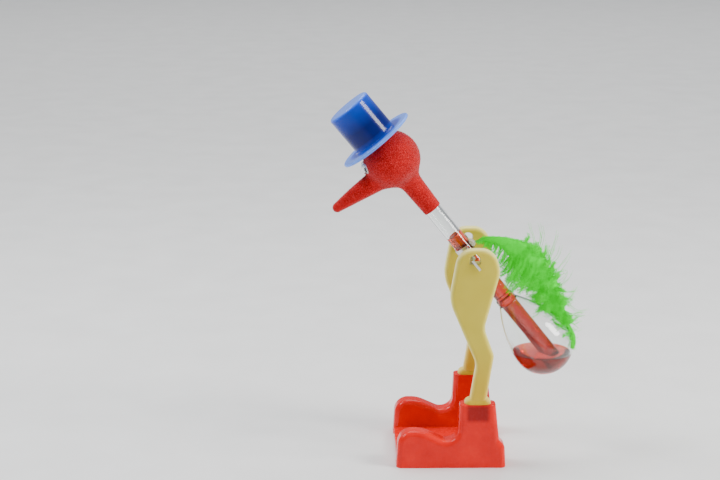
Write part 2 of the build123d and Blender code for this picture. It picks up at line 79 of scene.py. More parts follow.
# ---- shader helpers ----
class Shader:
    """A material with one Principled shader, whose colour, roughness and bump come from procedural nodes."""

    def __init__(self, name, color, roughness, **fixed):
        self.material = bpy.data.materials.new(name)
        self.material.use_nodes = True
        self.tree = self.material.node_tree
        self.principled = self.tree.nodes["Principled BSDF"]
        self.put("Base Color", (*color, 1))
        self.put("Roughness", roughness)
        for socket, value in fixed.items():
            self.put(socket.replace("_", " "), value)
        self.where = self.node("ShaderNodeTexCoord").outputs["Object"]

    def put(self, socket, value):
        """Sets a value that is the same all over the surface on the shader's own socket."""
        self.principled.inputs[socket].default_value = value

    def node(self, kind, **settings):
        made = self.tree.nodes.new(kind)
        for name, value in settings.items():
            if name in made.inputs:
                made.inputs[name].default_value = value
            else:
                setattr(made, name, value)
        return made

    def link(self, source, target):
        self.tree.links.new(source, target)

    def noise(self, scale, detail=3.0, roughness=0.55, stretch=None):
        """A noise pattern of that many features to the metre, stretched along one direction if asked."""
        made = self.node("ShaderNodeTexNoise", Scale=scale, Detail=detail, Roughness=roughness)
        where = self.where
        if stretch:
            squeeze = self.node("ShaderNodeMapping")
            squeeze.inputs["Scale"].default_value = stretch
            self.link(where, squeeze.inputs["Vector"])
            where = squeeze.outputs["Vector"]
        self.link(where, made.inputs["Vector"])
        return made.outputs["Fac"]

    def ramp(self, fac, stops):
        """A colour ramp, from (place, colour or grey) stops."""
        made = self.node("ShaderNodeValToRGB")
        elements = made.color_ramp.elements
        while len(elements) < len(stops):
            elements.new(0.5)
        for element, (place, value) in zip(elements, stops):
            element.position = place
            element.color = (*value, 1) if isinstance(value, tuple) else (value, value, value, 1)
        self.link(fac, made.inputs["Fac"])
        return made.outputs["Color"]

    def mix(self, fac, first, second, blend="MIX"):
        """Mixes two colour outputs by a factor output or a number."""
        made = self.node("ShaderNodeMix", data_type="RGBA", blend_type=blend)
        if isinstance(fac, float):
            made.inputs["Factor"].default_value = fac
        else:
            self.link(fac, made.inputs["Factor"])
        self.link(first, made.inputs["A"])
        self.link(second, made.inputs["B"])
        return made.outputs["Result"]

    def color(self, output):
        self.link(output, self.principled.inputs["Base Color"])

    def rough(self, fac, low, high):
        """Roughness from low to high, by a pattern."""
        self.link(self.ramp(fac, [(0.3, low), (0.7, high)]), self.principled.inputs["Roughness"])

    def bump(self, height, depth, strength=1.0):
        """A bump of that depth in metres, over any bump already there."""
        made = self.node("ShaderNodeBump", Strength=strength, Distance=depth)
        self.link(height, made.inputs["Height"])
        normal = self.principled.inputs["Normal"]
        if normal.is_linked:
            self.link(normal.links[0].from_socket, made.inputs["Normal"])
        self.link(made.outputs["Normal"], normal)

    def axis(self, matrix):
        """The surface point in another frame, as separate X, Y and Z outputs in millimetres."""
        turn = matrix.inverted()
        vector = self.node("ShaderNodeMapping", vector_type="POINT")
        place, rotation, scale = turn.decompose()
        vector.inputs["Location"].default_value = place
        vector.inputs["Rotation"].default_value = rotation.to_euler()
        vector.inputs["Scale"].default_value = scale
        self.link(self.where, vector.inputs["Vector"])
        parts = self.node("ShaderNodeSeparateXYZ")
        self.link(vector.outputs["Vector"], parts.inputs["Vector"])
        return parts.outputs["X"], parts.outputs["Y"], parts.outputs["Z"]

    def math(self, operation, first, second=None):
        """One math node on outputs or numbers."""
        made = self.node("ShaderNodeMath", operation=operation)
        for value, socket in zip((first, second), made.inputs):
            if value is None:
                continue
            if isinstance(value, (int, float)):
                socket.default_value = value
            else:
                self.link(value, socket)
        return made.outputs["Value"]

    def span(self, value, low, high):
        """0 at low, 1 at high, level outside."""
        made = self.node("ShaderNodeMapRange", clamp=True)
        made.inputs["From Min"].default_value = low
        made.inputs["From Max"].default_value = high
        self.link(value, made.inputs["Value"])
        return made.outputs["Result"]


# ---- materials ----
def felt_material():
    """Red flock: painted shade makes it deep between the fibres, and painted highlights make it pinker where
    they would catch the light.
    """
    shader = Shader(
        "red_flock", (0.66, 0.012, 0.012), 0.88, Sheen_Weight=0.85, Sheen_Roughness=0.28,
        Sheen_Tint=(1.0, 0.50, 0.50, 1), Specular_IOR_Level=0.05,
    )
    grain = shader.noise(2600, detail=4, roughness=0.7)
    patches = shader.noise(160, detail=2)
    # Painted light and shade: the noise lays painted shade between the fibres at the dark end and painted
    # pink highlights on them at the light end.
    fibres = shader.ramp(
        grain, [(0.36, (0.28, 0.004, 0.006)), (0.54, (0.80, 0.012, 0.014)), (0.74, (1.0, 0.15, 0.15))]
    )
    worn = shader.ramp(patches, [(0.3, (0.80, 0.75, 0.75)), (0.7, WHITE)])
    shader.color(shader.mix(1.0, fibres, worn, "MULTIPLY"))
    shader.bump(grain, 0.0004, 1.0)
    return shader.material


# Where painted light makes the hat paler, as (start, full) in millimetres: out along its radius, and up from
# the head's middle.
HAT_EDGE = (11.0, 15.0)
HAT_LID = (28.6, 30.9)
HAT_FOOT = (14.5, 12.0)
HAT_SHOULDER = (20.0, 29.0)
FOOT_SHARE = 0.35
SHOULDER_SHARE = 0.30


def hat_material():
    """Glossy blue polystyrene, with painted shade in the crown's middle and painted light making it paler
    towards its thin edges.
    """
    shader = Shader(
        "blue_polystyrene", (0.01, 0.05, 0.42), 0.22, Coat_Weight=0.22, Coat_Roughness=0.06,
        Specular_IOR_Level=0.12, Sheen_Weight=0.18, Sheen_Roughness=0.3, Sheen_Tint=(0.15, 0.30, 1.0, 1),
    )
    hat_x, hat_y, hat_z = shader.axis(TUBE @ Matrix.Translation((0, 0, HEAD_HEIGHT)))
    squares = [shader.math("MULTIPLY", value, value) for value in (hat_x, hat_y)]
    radius = shader.math("SQRT", shader.math("ADD", *squares))
    edge = shader.span(radius, *HAT_EDGE)
    lid = shader.span(hat_z, *HAT_LID)
    foot = shader.math("MULTIPLY", shader.span(hat_z, *HAT_FOOT), FOOT_SHARE)
    shoulder_painted_light = shader.math("MULTIPLY", shader.span(hat_z, *HAT_SHOULDER), SHOULDER_SHARE)
    painted_light_parts = shader.math("MAXIMUM", edge, lid)
    pale = shader.math("MAXIMUM", painted_light_parts, shader.math("MAXIMUM", foot, shoulder_painted_light))
    # Painted shade darkens the crown's middle; painted light pales the brim's edge, the lid, the foot and the
    # upper crown.
    depth = shader.ramp(
        pale, [(0.0, (0.001, 0.008, 0.14)), (0.5, (0.010, 0.085, 0.74)), (1.0, (0.15, 0.33, 1.0))]
    )
    swirl = shader.ramp(shader.noise(210, detail=3), [(0.3, (0.88, 0.88, 0.92)), (0.7, WHITE)])
    shader.color(shader.mix(1.0, depth, swirl, "MULTIPLY"))
    shader.rough(shader.noise(700, detail=2), 0.18, 0.24)
    shader.bump(shader.noise(420, detail=2), 0.00003, 0.5)
    return shader.material


LEG_MIDDLE = 21.0  # each leg's middle plane, from the bird's
LEG_FACE = (3.1, 1.6)  # where the rounded edge ends and the thick middle begins, from that plane
LEG_AMBER = (-34, -60)  # where the leg turns amber towards the ankle, below the swing axis


def leg_material():
    """Ivory polystyrene: warm in its thick middle, with painted rim light making it lighter along its thin
    rounded edges.
    """
    shader = Shader(
        "ivory_polystyrene", (0.78, 0.66, 0.32), 0.34,
        Coat_Weight=0.06, Coat_Roughness=0.2, Specular_IOR_Level=0.14,
        Subsurface_Weight=0.25, Subsurface_Scale=0.003, Subsurface_Radius=(1.0, 0.8, 0.3),
        Sheen_Weight=0.12, Sheen_Roughness=0.5, Sheen_Tint=(1.0, 1.0, 0.8, 1),
    )
    _, across, height = shader.axis(RESTING)
    middle = shader.math("ABSOLUTE", shader.math("SUBTRACT", shader.math("ABSOLUTE", across), LEG_MIDDLE))
    thin = shader.span(middle, *LEG_FACE)
    tones = shader.ramp(shader.noise(60, detail=2), [(0.3, (0.60, 0.47, 0.030)), (0.7, (0.68, 0.55, 0.045))])
    # Painted rim light: this paler colour is laid along the rounded edges.
    pale = shader.ramp(shader.noise(90, detail=2), [(0.3, (0.86, 0.79, 0.22)), (0.7, (0.90, 0.84, 0.30))])
    amber = shader.ramp(shader.span(height, *LEG_AMBER), [(0.0, WHITE), (1.0, (1.0, 0.84, 0.60))])
    shader.color(shader.mix(1.0, shader.mix(thin, tones, pale), amber, "MULTIPLY"))
    shader.rough(shader.noise(500, detail=4), 0.26, 0.42)
    shader.bump(shader.noise(900, detail=3), 0.00002, 0.5)
    return shader.material


# The painted shade in the boot's shaft, where the leg's peg sits behind its wall: its middle, and its soft
# edges.
PEG_ALONG = 2.3
PEG_BELOW = 68.6
PEG_WIDTH = (5.8, 4.0)
PEG_DEPTH = (4.6, 2.6)
PEG_OUTSIDE = (20.0, 24.5)


def boot_material():
    """Bright red glossy moulding, with painted shade in the shaft where the leg's peg sits behind its wall.
    """
    shader = Shader(
        "red_polystyrene", (0.72, 0.008, 0.004), 0.24,
        Coat_Weight=0.28, Coat_Roughness=0.05, Specular_IOR_Level=0.08,
    )
    along, across, height = shader.axis(RESTING)
    fore = shader.math("ABSOLUTE", shader.math("SUBTRACT", along, PEG_ALONG))
    below = shader.math("ABSOLUTE", shader.math("ADD", height, PEG_BELOW))
    inside = shader.math("MULTIPLY", shader.span(fore, *PEG_WIDTH), shader.span(below, *PEG_DEPTH))
    side = shader.math("MULTIPLY", inside, shader.span(shader.math("ABSOLUTE", across), *PEG_OUTSIDE))
    swirls = shader.noise(110, detail=3)
    red = shader.ramp(swirls, [(0.3, (0.70, 0.003, 0.001)), (0.7, (0.86, 0.008, 0.003))])
    # Painted shade: the window over the peg is darkened in colour.
    dark = shader.ramp(side, [(0.0, WHITE), (1.0, (0.42, 0.25, 0.25))])
    shader.color(shader.mix(1.0, red, dark, "MULTIPLY"))
    shader.rough(shader.noise(600, detail=4), 0.18, 0.34)
    shader.bump(shader.noise(260, detail=2), 0.00004, 0.5)
    return shader.material


def glass_material():
    """Clear blown glass with faint waviness."""
    shader = Shader(
        "blown_glass", (0.965, 0.985, 0.98), 0.0, Transmission_Weight=1.0, IOR=1.46, Specular_IOR_Level=0.32
    )
    tint = shader.noise(80, detail=2)
    shader.color(shader.ramp(tint, [(0.3, (0.94, 0.97, 0.96)), (0.7, (0.985, 0.995, 0.99))]))
    shader.rough(shader.noise(900, detail=5), 0.0, 0.05)
    shader.bump(shader.noise(150, detail=1), 0.00003, 0.35)
    return shader.material


def liquid_material(name, light, deep, low, high):
    """Clear red-dyed liquid: it takes light away along its depth, has painted shade making it deeper in
    colour below, and painted light towards its top.
    """
    shader = Shader(name, deep, 0.0, Transmission_Weight=0.94, IOR=1.36, Specular_IOR_Level=0.3)
    dye = shader.node("ShaderNodeVolumeAbsorption", Color=(0.97, 0.05, 0.03, 1), Density=45.0)
    shader.link(dye.outputs["Volume"], shader.tree.nodes["Material Output"].inputs["Volume"])
    _, _, height = shader.axis(RESTING)
    level = shader.span(height, low, high)
    # Painted shade deepens the colour low down; painted light brightens it towards the top.
    body = shader.ramp(level, [(0.0, deep), (0.75, light), (1.0, light)])
    swirl = shader.ramp(shader.noise(120, detail=2), [(0.3, (0.86, 0.82, 0.82)), (0.7, WHITE)])
    shader.color(shader.mix(1.0, body, swirl, "MULTIPLY"))
    shader.rough(shader.noise(300, detail=2), 0.0, 0.04)
    return shader.material


def steel_material():
    """Bright spring steel with rolling marks along the strip."""
    shader = Shader("spring_steel", (0.70, 0.70, 0.68), 0.28, Metallic=1.0, Anisotropic=0.4)
    marks = shader.noise(900, detail=4, stretch=(1.0, 0.06, 1.0))
    shader.color(shader.ramp(marks, [(0.3, (0.52, 0.52, 0.51)), (0.7, (0.80, 0.79, 0.77))]))
    shader.rough(marks, 0.18, 0.42)
    shader.bump(marks, 0.00002, 0.6)
    return shader.material


def glue_material():
    """Set clear glue, slightly yellow and lumpy."""
    shader = Shader("set_glue", (0.86, 0.80, 0.62), 0.2, Transmission_Weight=0.6, IOR=1.45)
    lumps = shader.noise(900, detail=3)
    shader.color(shader.ramp(lumps, [(0.3, (0.78, 0.70, 0.50)), (0.7, (0.92, 0.89, 0.78))]))
    shader.rough(lumps, 0.12, 0.35)
    shader.bump(lumps, 0.0002, 0.7)
    return shader.material


def feather_material(name, deep, bright, pale):
    """Dyed down: painted shade makes it deep at the quill and under the plume's root; bright along the barbs,
    paler at the wispy tips.

    A little glow stands for the light that passes through the down.
    """
    shader = Shader(
        name, bright, 0.72, Specular_IOR_Level=0.05,
        Emission_Color=(0.002, 0.85, 0.001, 1), Emission_Strength=0.26,
    )
    along = shader.node("ShaderNodeAttribute", attribute_name="along")
    # The stored shade runs from painted shade near the quill to the bright dye, then to the paler tips.
    run = shader.ramp(along.outputs["Fac"], [(0.0, deep), (0.35, bright), (0.8, bright), (1.0, pale)])
    dye = shader.ramp(shader.noise(330, detail=3), [(0.3, (0.66, 0.80, 0.62)), (0.7, WHITE)])
    shader.color(shader.mix(1.0, run, dye, "MULTIPLY"))
    shader.rough(shader.noise(1200, detail=2), 0.6, 0.85)
    return shader.material


def quill_material():
    """Dyed quill: translucent horn with lengthwise streaks."""
    shader = Shader(
        "dyed_quill", (0.20, 0.62, 0.12), 0.4, Coat_Weight=0.3, Subsurface_Weight=0.2, Subsurface_Scale=0.001
    )
    streaks = shader.noise(1500, detail=3, stretch=(0.15, 1.0, 0.3))
    shader.color(shader.ramp(streaks, [(0.3, (0.10, 0.42, 0.05)), (0.7, (0.32, 0.78, 0.20))]))
    shader.rough(streaks, 0.3, 0.5)
    return shader.material


def plain_material(name, dark, light, low, high, scale, **fixed):
    """A moulded or printed surface with fine mottling."""
    shader = Shader(name, light, low, **fixed)
    mottle = shader.noise(scale, detail=4)
    shader.color(shader.ramp(mottle, [(0.3, dark), (0.7, light)]))
    shader.rough(mottle, low, high)
    shader.bump(mottle, 0.00003, 0.5)
    return shader.material


# ---- mesh helpers ----
def make_piece(name, vertices, faces, material, smooth=True, crease=None):
    """A mesh object from points in the shared frame, in metres, with outward faces."""
    mesh = bpy.data.meshes.new(name)
    mesh.from_pydata([tuple(v) for v in vertices], [], faces)
    tidy = bmesh.new()
    tidy.from_mesh(mesh)
    bmesh.ops.recalc_face_normals(tidy, faces=tidy.faces)
    tidy.to_mesh(mesh)
    tidy.free()
    mesh.materials.append(material)
    mesh.shade_smooth() if smooth else mesh.shade_flat()
    if crease:
        mesh.set_sharp_from_angle(angle=radians(crease))
    piece = bpy.data.objects.new(name, mesh)
    bpy.context.scene.collection.objects.link(piece)
    return piece


def settle(piece, body, slot, *nodes):
    """Rides a finished piece on its body and hides the nodes that it stands for; the finish's name (slot) is
    not used.
    """
    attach(piece, body)
    if nodes:
        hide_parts(*nodes)
    return piece


def arc(middle_r, middle_h, radius, start, end, steps):
    """Points (radius, height) along an arc, its angles in degrees from straight out."""
    angles = [radians(start + (end - start) * i / steps) for i in range(steps + 1)]
    return [(middle_r + radius * cos(a), middle_h + radius * sin(a)) for a in angles]


def bend(start, pull_start, pull_end, end, steps):
    """Points along a cubic curve, without its first."""
    points = []
    for i in range(1, steps + 1):
        t = i / steps
        weights = ((1 - t) ** 3, 3 * t * (1 - t) ** 2, 3 * t * t * (1 - t), t**3)
        controls = (start, pull_start, pull_end, end)
        points.append(tuple(sum(w * c[k] for w, c in zip(weights, controls)) for k in (0, 1)))
    return points


ON_AXIS = 1e-6


def lathe(name, profile, place, material, steps):
    """A closed solid of revolution about Z of place, from a closed (radius, height) outline."""
    vertices, rings = [], []
    for radius, height in profile:
        if radius < ON_AXIS:
            rings.append([len(vertices)])
            vertices.append(place @ Vector((0, 0, height)))
            continue
        rings.append(list(range(len(vertices), len(vertices) + steps)))
        for i in range(steps):
            turn = 2 * pi * i / steps
            vertices.append(place @ Vector((radius * cos(turn), radius * sin(turn), height)))
    faces = []
    for low, high in zip(rings, rings[1:] + rings[:1]):
        if len(low) == 1 and len(high) == 1:
            continue
        for i in range(steps):
            j = (i + 1) % steps
            corners = [low[i % len(low)], low[j % len(low)], high[j % len(high)], high[i % len(high)]]
            faces.append(tuple(dict.fromkeys(corners)))
    return make_piece(name, vertices, faces, material, crease=CREASE)


# ---- glass and liquid ----
BULB_STEPS = 26


def shoulder(radius, neck, seal):
    """The bulb's long shoulder, from its widest ring up to the seal."""
    widest, pull_up = (radius, BULB_HEIGHT), (radius, BULB_HEIGHT + 9.0)
    return bend(widest, pull_up, (neck + 3.75, seal - 5.0), (neck, seal), BULB_STEPS)


def glass_piece(material):
    """The fused glass: neck tube, its dip end, the seal's collar and the pear-shaped bulb, in one wall."""
    bulb_low = arc(0, BULB_HEIGHT, BULB_R, 0, -90, BULB_STEPS)
    inner_r = BULB_R - BULB_WALL
    inner_low = arc(0, BULB_HEIGHT, inner_r, -90, 0, BULB_STEPS)
    room_top = SEAL - 0.9
    collar_start = (TUBE_R, SEAL_TOP + 1.1)
    outline = [(BORE_R, TUBE_TOP), (TUBE_R, TUBE_TOP), collar_start]
    outline += bend(
        collar_start, (TUBE_R, SEAL_TOP), (COLLAR_R, SEAL_TOP + 0.2), (COLLAR_R, SEAL_TOP - 0.9), 8
    )
    outline += [(COLLAR_R, SEAL + 0.6), (COLLAR_R - 0.12, SEAL + 0.25)]
    outline += list(reversed(shoulder(BULB_R, COLLAR_R, SEAL)))
    outline += bulb_low[:-1] + [(0, bulb_low[-1][1]), (0, inner_low[0][1])] + inner_low[1:]
    outline += shoulder(inner_r, TUBE_R + 0.55, room_top)
    outline += [(TUBE_R + 0.25, room_top + 0.25), (TUBE_R, room_top)]
    lip = (TUBE_R - BORE_R) / 2
    outline += [(TUBE_R, DIP_END + lip)] + arc(TUBE_R - lip, DIP_END + lip, lip, 0, -180, 8)[1:]
    piece = lathe("bird_glass", outline, TUBE, material, 96)
    return settle(piece, "bird", "clear_glass", "neck_tube", "lower_bulb")


def column_piece(material):
    """The liquid in the tube, a hair into the glass so that no film of air shows, with its hollow top."""
    radius = BORE_R + 0.02
    dip = 0.9
    turns = [radians(a) for a in range(0, 91, 15)]
    meniscus = [(radius * cos(a), COLUMN_TOP + dip - dip * sin(a)) for a in turns]
    outline = [(0, DIP_END + 0.05), (radius - 0.3, DIP_END + 0.05), (radius, DIP_END + 0.3)]
    outline += meniscus[:-1] + [(0, COLUMN_TOP)]
    piece = lathe("liquid_in_tube", outline, TUBE, material, 64)
    return settle(piece, "bird", "red_liquid", "liquid_column")


def pool_piece(material):
    """The liquid lying level in the bulb, out to the glass all round, with a small climb at its rim."""
    bulb = frame["nodes"]["lower_bulb"].data
    tree = BVHTree.FromPolygons([v.co for v in bulb.vertices], [tuple(p.vertices) for p in bulb.polygons])
    into_glass = 0.00004
    climb = 0.0004
    level = BULB_MIDDLE.z - LEVEL_DROP * MM

    def wall(turn, lift):
        """The point just inside the glass, seen from the bulb's middle in that direction."""
        out = Vector((cos(turn) * cos(lift), sin(turn) * cos(lift), sin(lift)))
        distance = tree.ray_cast(BULB_MIDDLE, out)[3]
        return BULB_MIDDLE + out * (distance + into_glass)

    def rim_lift(turn):
        """How far below level, as an angle, the climbing rim meets the wall."""
        low, high = -pi / 2, 0.0
        for _ in range(24):
            middle = (low + high) / 2
            if wall(turn, middle).z < level + climb:
                low = middle
            else:
                high = middle
        return (low + high) / 2

    around, up = 96, 22
    turns = [2 * pi * i / around for i in range(around)]
    rims = [rim_lift(turn) for turn in turns]
    vertices = [wall(0.0, -pi / 2)]
    for ring in range(1, up + 1):
        vertices += [wall(t, -pi / 2 + (rim + pi / 2) * ring / up) for t, rim in zip(turns, rims)]
    edge = vertices[-around:]
    centre = sum(edge, Vector()) / around
    # The top face: shares of the way out from its middle, with the share of the climb there.
    for share, height in ((0.975, 0.45), (0.945, 0.15), (0.90, 0.03), (0.60, 0.0), (0.30, 0.0)):
        for rim_point in edge:
            flat = centre.lerp(rim_point, share)
            vertices.append(Vector((flat.x, flat.y, level + climb * height)))
    vertices.append(Vector((centre.x, centre.y, level)))
    faces = [(0, 1 + i, 1 + (i + 1) % around) for i in range(around)]
    rings = (len(vertices) - 2) // around
    for ring in range(rings - 1):
        base = 1 + ring * around
        for i in range(around):
            j = (i + 1) % around
            faces.append((base + i, base + j, base + around + j, base + around + i))
    last = 1 + (rings - 1) * around
    faces += [(last + i, last + (i + 1) % around, len(vertices) - 1) for i in range(around)]
    piece = make_piece("liquid_in_bulb", vertices, faces, material, crease=CREASE)
    return settle(piece, "liquid", "red_liquid", "liquid_pool")


# ---- felt ----
HEAD = np.array([0.0, 0.0, HEAD_HEIGHT])
BEAK_TIP_R = 2.15
BEAK_TIP = np.array([BEAK_TIP_R - 34.8, 0.0, HEAD_HEIGHT - 2.0])
BEAK_RISE = radians(4.7)
BEAK_TAPER = radians(6.4)
BEAK_LENGTH = 30.0
BEAK_ARCH = 0.75
NECK_END_R = 4.15
NECK_SLOPE = 0.75 / 17.6
HEAD_NECK_BLEND = 3.2
HEAD_BEAK_BLEND = 2.6
FELT_VOXEL = 0.36
FELT_THICK = 0.28
NUB_HEIGHT = 0.075
FIBRES = 15000
FIBRE_R = 0.045
EYE_ROOM = 0.0032  # metres round each eye with no fibres


def head_distance(points):
    """Distance outside the round head."""
    return np.linalg.norm(points - HEAD, axis=1) - FELT_R


def neck_distance(points):
    """Distance outside the neck, a cone that widens upwards."""
    around = np.hypot(points[:, 0], points[:, 1])
    height = points[:, 2]
    return np.maximum(around - NECK_END_R - NECK_SLOPE * (height - FELT_END), height - HEAD_HEIGHT)


def beak_distance(points):
    """Distance outside a cone with a round tip and a slightly arched upper side."""
    back = np.array([cos(BEAK_RISE), 0.0, -sin(BEAK_RISE)])
    upwards = np.array([sin(BEAK_RISE), 0.0, cos(BEAK_RISE)])
    apart = points - BEAK_TIP
    run = apart @ back
    around = np.sqrt(np.maximum((apart**2).sum(1) - run**2, 0))
    upper = np.clip(apart @ upwards / np.maximum(around, 0.1), 0, 1)
    arch = BEAK_ARCH * upper * np.sin(pi * np.clip(run / BEAK_LENGTH, 0, 1))
    cone = around * cos(BEAK_TAPER) - run * sin(BEAK_TAPER) - BEAK_TIP_R - arch
    ball = np.linalg.norm(apart, axis=1) - BEAK_TIP_R
    before_tip = run * cos(BEAK_TAPER) + around * sin(BEAK_TAPER) < 0
    return np.maximum(np.where(before_tip, ball, cone), run - BEAK_LENGTH)


def blended(first, second, reach):
    """The smaller of two distances, rounded where they meet."""
    share = np.clip(0.5 + 0.5 * (second - first) / reach, 0, 1)
    return second * (1 - share) + first * share - reach * share * (1 - share)


def felt_distance(points):
    """Distance outside head, neck and beak together."""
    head = blended(head_distance(points), neck_distance(points), HEAD_NECK_BLEND)
    return blended(head, beak_distance(points), HEAD_BEAK_BLEND)


def felt_slope(points):
    """The direction in which the distance grows, at each point."""
    step = 0.01
    slope = np.empty_like(points)
    for k in range(3):
        shift = np.zeros(3)
        shift[k] = step
        slope[:, k] = (felt_distance(points + shift) - felt_distance(points - shift)) / (2 * step)
    return slope


def rough_felt():
    """A closed mesh near the felt's surface, in millimetres along the tube's axis."""
    build = bmesh.new()
    bmesh.ops.create_uvsphere(
        build, u_segments=64, v_segments=40, radius=FELT_R, matrix=Matrix.Translation(HEAD)
    )
    neck = HEAD_HEIGHT - FELT_END + 3
    bmesh.ops.create_cone(
        build, cap_ends=True, segments=48, radius1=NECK_END_R, radius2=NECK_END_R + 1, depth=neck,
        matrix=Matrix.Translation((0, 0, HEAD_HEIGHT - neck / 2)),
    )
    back = Vector((cos(BEAK_RISE), 0, -sin(BEAK_RISE)))
    turn = Vector((0, 0, 1)).rotation_difference(back).to_matrix().to_4x4()
    middle = Vector(BEAK_TIP) + back * (BEAK_LENGTH / 2)
    root_r = BEAK_TIP_R + BEAK_LENGTH * tan(BEAK_TAPER)
    bmesh.ops.create_cone(
        build, cap_ends=True, segments=48, radius1=BEAK_TIP_R, radius2=root_r,
        depth=BEAK_LENGTH, matrix=Matrix.Translation(middle) @ turn,
    )
    bmesh.ops.create_icosphere(build, subdivisions=3, radius=BEAK_TIP_R, matrix=Matrix.Translation(BEAK_TIP))
    mesh = bpy.data.meshes.new("rough_felt")
    build.to_mesh(mesh)
    build.free()
    rough = bpy.data.objects.new("rough_felt", mesh)
    bpy.context.scene.collection.objects.link(rough)
    remesh = rough.modifiers.new("remesh", "REMESH")
    remesh.mode = "VOXEL"
    remesh.voxel_size = FELT_VOXEL
    bpy.context.view_layer.update()
    done = bpy.data.meshes.new_from_object(rough.evaluated_get(bpy.context.evaluated_depsgraph_get()))
    bpy.data.objects.remove(rough)
    return done


def felt_piece(material):
    """The felt skin over head, beak and upper neck, with smooth hollows where they meet and a nubbly surface.

    Gives back its smooth points and the directions out of them, for the fibres.
    """
    mesh = rough_felt()
    points = np.empty(len(mesh.vertices) * 3)
    mesh.vertices.foreach_get("co", points)
    points = points.reshape(-1, 3)
    for _ in range(7):
        slope = felt_slope(points)
        points -= felt_distance(points)[:, None] * slope / np.maximum((slope**2).sum(1), 0.05)[:, None]
    out = felt_slope(points)
    out /= np.linalg.norm(out, axis=1)[:, None]
    nub = np.array([noise.noise(Vector(p) * 2.1) + 0.6 * noise.noise(Vector(p) * 4.7) for p in points])
    mesh.vertices.foreach_set("co", (points + out * (nub * NUB_HEIGHT)[:, None]).ravel())
    skin = bmesh.new()
    skin.from_mesh(mesh)
    parts = [*skin.verts, *skin.edges, *skin.faces]
    bmesh.ops.bisect_plane(skin, geom=parts, plane_co=(0, 0, FELT_END), plane_no=(0, 0, -1), clear_outer=True)
    bmesh.ops.recalc_face_normals(skin, faces=skin.faces)
    bmesh.ops.solidify(skin, geom=skin.faces, thickness=FELT_THICK)
    bmesh.ops.transform(skin, matrix=TUBE, verts=skin.verts)
    bmesh.ops.recalc_face_normals(skin, faces=skin.faces)
    skin.to_mesh(mesh)
    skin.free()
    mesh.name = "felt_skin"
    mesh.materials.clear()
    mesh.materials.append(material)
    mesh.shade_smooth()
    piece = bpy.data.objects.new("felt_skin", mesh)
    bpy.context.scene.collection.objects.link(piece)
    settle(piece, "bird", "red_felt", "flock_cover")
    return points, out


def fibres_piece(points, out, material):
    """Loose flock fibres standing on the felt, as fine closed spikes."""
    dice = random.Random(11)
    vertices, faces, along = [], [], []
    eyes = [Vector(JOINTS[f"{side}_pupil_spin"]["pos_m"]) for side in ("left", "right")]
    clear = [
        i for i, point in enumerate(points)
        if point[2] > FELT_END + 0.2 and min((TUBE @ Vector(point) - eye).length for eye in eyes) > EYE_ROOM
    ]
    for i in dice.sample(clear, min(FIBRES, len(clear))):
        foot = Vector(points[i]) - Vector(out[i]) * 0.1
        lean = stray(dice) * 0.45
        direction = (Vector(out[i]) + lean).normalized()
        tip = foot + direction * dice.uniform(0.32, 0.58)
        add_spike(vertices, faces, along, foot, tip, FIBRE_R, 0.0, 1.0)
    vertices = [TUBE @ v for v in vertices]
    return settle(make_piece("felt_fibres", vertices, faces, material, smooth=False), "bird", "red_felt")


# ---- strands ----
def stray(dice):
    """A random offset, alike in every direction."""
    return Vector((dice.gauss(0, 1), dice.gauss(0, 1), dice.gauss(0, 1)))


def add_spike(vertices, faces, along, foot, tip, radius, low, high):
    """One closed three-sided spike from foot to tip."""
    run = (tip - foot).normalized()
    side = run.orthogonal().normalized()
    other = run.cross(side)
    base = len(vertices)
    for k in range(3):
        turn = 2 * pi * k / 3
        vertices.append(foot + (side * cos(turn) + other * sin(turn)) * radius)
    vertices.append(tip)
    along += [low, low, low, high]
    faces += [(base, base + 1, base + 3), (base + 1, base + 2, base + 3), (base + 2, base, base + 3)]
    faces.append((base + 2, base + 1, base))


def add_strand(vertices, faces, along, points, radii, shares):
    """One closed three-sided strand along the points, ending in a point."""
    base = len(vertices)
    side = (points[1] - points[0]).orthogonal().normalized()
    for i, (point, radius, share) in enumerate(zip(points[:-1], radii, shares)):
        run = (points[i + 1] - point).normalized()
        side = (side - run * side.dot(run)).normalized()
        other = run.cross(side)
        for k in range(3):
            turn = 2 * pi * k / 3
            vertices.append(point + (side * cos(turn) + other * sin(turn)) * radius)
            along.append(share)
    vertices.append(points[-1])
    along.append(shares[-1])
    rings = len(points) - 1
    faces.append((base + 2, base + 1, base))
    for i in range(rings - 1):
        low = base + 3 * i
        for k in range(3):
            j = (k + 1) % 3
            faces.append((low + k, low + j, low + 3 + j, low + 3 + k))
    last = base + 3 * (rings - 1)
    tip = len(vertices) - 1
    faces += [(last + k, last + (k + 1) % 3, tip) for k in range(3)]


# ---- feather, in millimetres from the swing axis in the rest pose ----
# Three lines as (X, Z) points from root to tail: the quill, and the down's upper and lower edges.
QUILL = [
    (0.9, 4.0), (6.8, 4.9), (14.0, 4.2), (20.5, 2.2), (26.5, -1.2), (31.0, -6.0), (34.6, -12.0),
    (37.2, -18.3), (39.3, -25.0), (41.9, -31.2), (43.6, -36.5), (44.8, -41.5),
]
OVER = [
    (1.4, 5.0), (6.8, 6.7), (14.8, 6.4), (21.1, 5.4), (27.5, 3.4), (33.3, -1.5), (37.6, -8.5),
    (40.6, -15.5), (42.6, -23.0), (45.2, -30.0), (46.2, -36.5), (45.4, -42.5),
]
UNDER = [
    (2.5, 2.6), (8.5, -0.5), (11.5, -6.5), (13.0, -12.0), (17.0, -17.0), (22.0, -18.8), (26.5, -20.8),
    (30.2, -24.0), (33.6, -27.8), (37.0, -32.0), (41.0, -37.5), (44.2, -42.0),
]
LENGTH = 66.0  # of the quill
BULB_FROM_PIVOT = (BULB_MIDDLE - PIVOT) / MM
KEEP_OFF_BULB = BULB_R + 0.25
KEEP_OFF_TUBE = TUBE_R + 0.9
